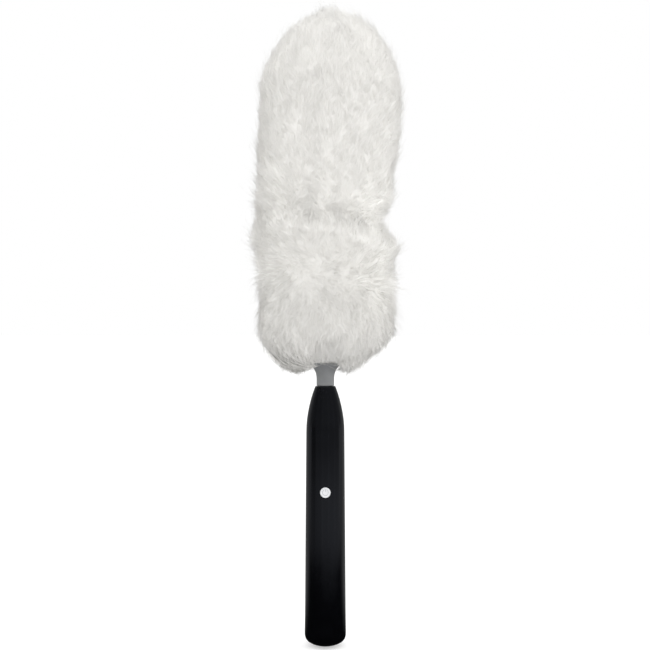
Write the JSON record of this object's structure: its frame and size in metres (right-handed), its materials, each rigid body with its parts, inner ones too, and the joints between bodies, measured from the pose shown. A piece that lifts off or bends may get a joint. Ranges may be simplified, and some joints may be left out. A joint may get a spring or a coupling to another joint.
{
  "type": "electric spin duster",
  "caption": "Battery-powered cleaning wand: a slim round handle with a push button turns a long fluffy pile head that pulls off a hexagonal drive spindle.",
  "frame": {"origin": "centre of the small flat foot of the end cap, on the wand's axis", "axes": "+Z along the wand from the handle to the head, -Y out of the face with the power button, +X to the right seen from the button's side"},
  "size_m": [0.1464, 0.145, 0.5998],
  "materials": {
    "casing": "satin",
    "button": "satin",
    "collar": "satin",
    "pile": "matte",
    "backing": "matte",
    "inner_plastic": "satin",
    "gear_plastic": "satin",
    "switch_plastic": "satin",
    "circuit_board": "satin",
    "red_lead": "satin",
    "black_lead": "satin",
    "seal_rubber": "matte",
    "felt": "matte",
    "steel": "satin",
    "contact_metal": "satin",
    "bronze": "satin",
    "magnet": "matte",
    "cell_jacket": "satin"
  },
  "bodies": {
    "handle": {"front_shell": "casing", "rear_shell": "casing", "casing_screw_1": "steel", "casing_screw_2": "steel", "casing_screw_3": "steel", "casing_screw_4": "steel", "contact_bulkhead": "inner_plastic", "contact_leaf_1": "contact_metal", "contact_leaf_2": "contact_metal", "switch_board": "circuit_board", "switch_body": "switch_plastic", "battery_lead_1": "red_lead", "battery_lead_2": "black_lead", "motor_lead_1": "red_lead", "motor_lead_2": "black_lead", "motor_can": "steel", "motor_end_bell": "inner_plastic", "motor_magnet_1": "magnet", "motor_magnet_2": "magnet", "gearbox_base": "inner_plastic", "ring_gear": "inner_plastic", "gearbox_cover": "inner_plastic", "inner_bush": "bronze", "nose_bush": "bronze", "nose_seal": "felt"},
    "output": {"carrier_2": "gear_plastic", "output_spindle": "steel", "spindle_grip_ring": "seal_rubber"},
    "duster_head": {"head_collar": "collar", "drive_socket": "steel", "core_tube": "inner_plastic", "tip_cap": "inner_plastic", "pile_backing": "backing", "fibre_pile": "pile"},
    "second_planet_a": {"planet_2a": "gear_plastic"},
    "second_planet_b": {"planet_2b": "gear_plastic"},
    "second_planet_c": {"planet_2c": "gear_plastic"},
    "first_carrier": {"carrier_1": "gear_plastic"},
    "first_planet_a": {"planet_1a": "gear_plastic"},
    "first_planet_b": {"planet_1b": "gear_plastic"},
    "first_planet_c": {"planet_1c": "gear_plastic"},
    "motor_rotor": {"motor_armature": "steel", "motor_commutator": "bronze", "motor_shaft": "steel", "sun_gear": "gear_plastic"},
    "power_switch": {"power_button": "button", "switch_plunger": "switch_plastic"},
    "battery_pack": {"end_cap": "casing", "cap_seal": "seal_rubber", "battery_cartridge": "inner_plastic", "battery_1": "cell_jacket", "battery_2": "cell_jacket", "battery_3": "cell_jacket", "battery_4": "cell_jacket", "link_strip": "contact_metal", "contact_spring_1": "contact_metal", "contact_spring_2": "contact_metal", "terminal_rivet_1": "contact_metal", "terminal_rivet_2": "contact_metal"}
  },
  "joints": [
    {"name": "head_spin", "type": "hinge", "parent": "handle", "child": "output", "pos_m": [0, 0, 0.2078], "axis": [0, 0, 1], "continuous": true},
    {"name": "head_release", "type": "slide", "parent": "output", "child": "duster_head", "axis": [0, 0, 1], "range_m": [0, 0.04]},
    {"name": "second_planet_a_spin", "type": "hinge", "parent": "output", "child": "second_planet_a", "pos_m": [0.008, 0, 0.2044], "axis": [0, 0, 1], "continuous": true},
    {"name": "second_planet_b_spin", "type": "hinge", "parent": "output", "child": "second_planet_b", "pos_m": [-0.004, 0.00693, 0.2044], "axis": [0, 0, 1], "continuous": true},
    {"name": "second_planet_c_spin", "type": "hinge", "parent": "output", "child": "second_planet_c", "pos_m": [-0.004, -0.00693, 0.2044], "axis": [0, 0, 1], "continuous": true},
    {"name": "first_carrier_spin", "type": "hinge", "parent": "handle", "child": "first_carrier", "pos_m": [0, 0, 0.199], "axis": [0, 0, 1], "continuous": true},
    {"name": "first_planet_a_spin", "type": "hinge", "parent": "first_carrier", "child": "first_planet_a", "pos_m": [0.008, 0, 0.19595], "axis": [0, 0, 1], "continuous": true},
    {"name": "first_planet_b_spin", "type": "hinge", "parent": "first_carrier", "child": "first_planet_b", "pos_m": [-0.004, 0.00693, 0.19595], "axis": [0, 0, 1], "continuous": true},
    {"name": "first_planet_c_spin", "type": "hinge", "parent": "first_carrier", "child": "first_planet_c", "pos_m": [-0.004, -0.00693, 0.19595], "axis": [0, 0, 1], "continuous": true},
    {"name": "rotor_spin", "type": "hinge", "parent": "handle", "child": "motor_rotor", "pos_m": [0, 0, 0.1594], "axis": [0, 0, 1], "continuous": true},
    {"name": "button_press", "type": "slide", "parent": "handle", "child": "power_switch", "axis": [0, 1, 0], "range_m": [0, 0.0012], "stiffness_N_per_m": 800, "springref_m": -0.002},
    {"name": "battery_release", "type": "slide", "parent": "handle", "child": "battery_pack", "axis": [0, 0, -1], "range_m": [0, 0.115]}
  ],
  "couplings": [
    {"joint": "second_planet_a_spin", "follows": "head_spin", "ratio": -3},
    {"joint": "second_planet_b_spin", "follows": "head_spin", "ratio": -3},
    {"joint": "second_planet_c_spin", "follows": "head_spin", "ratio": -3},
    {"joint": "first_carrier_spin", "follows": "head_spin", "ratio": 4},
    {"joint": "first_planet_a_spin", "follows": "head_spin", "ratio": -12},
    {"joint": "first_planet_b_spin", "follows": "head_spin", "ratio": -12},
    {"joint": "first_planet_c_spin", "follows": "head_spin", "ratio": -12},
    {"joint": "rotor_spin", "follows": "head_spin", "ratio": 16}
  ]
}
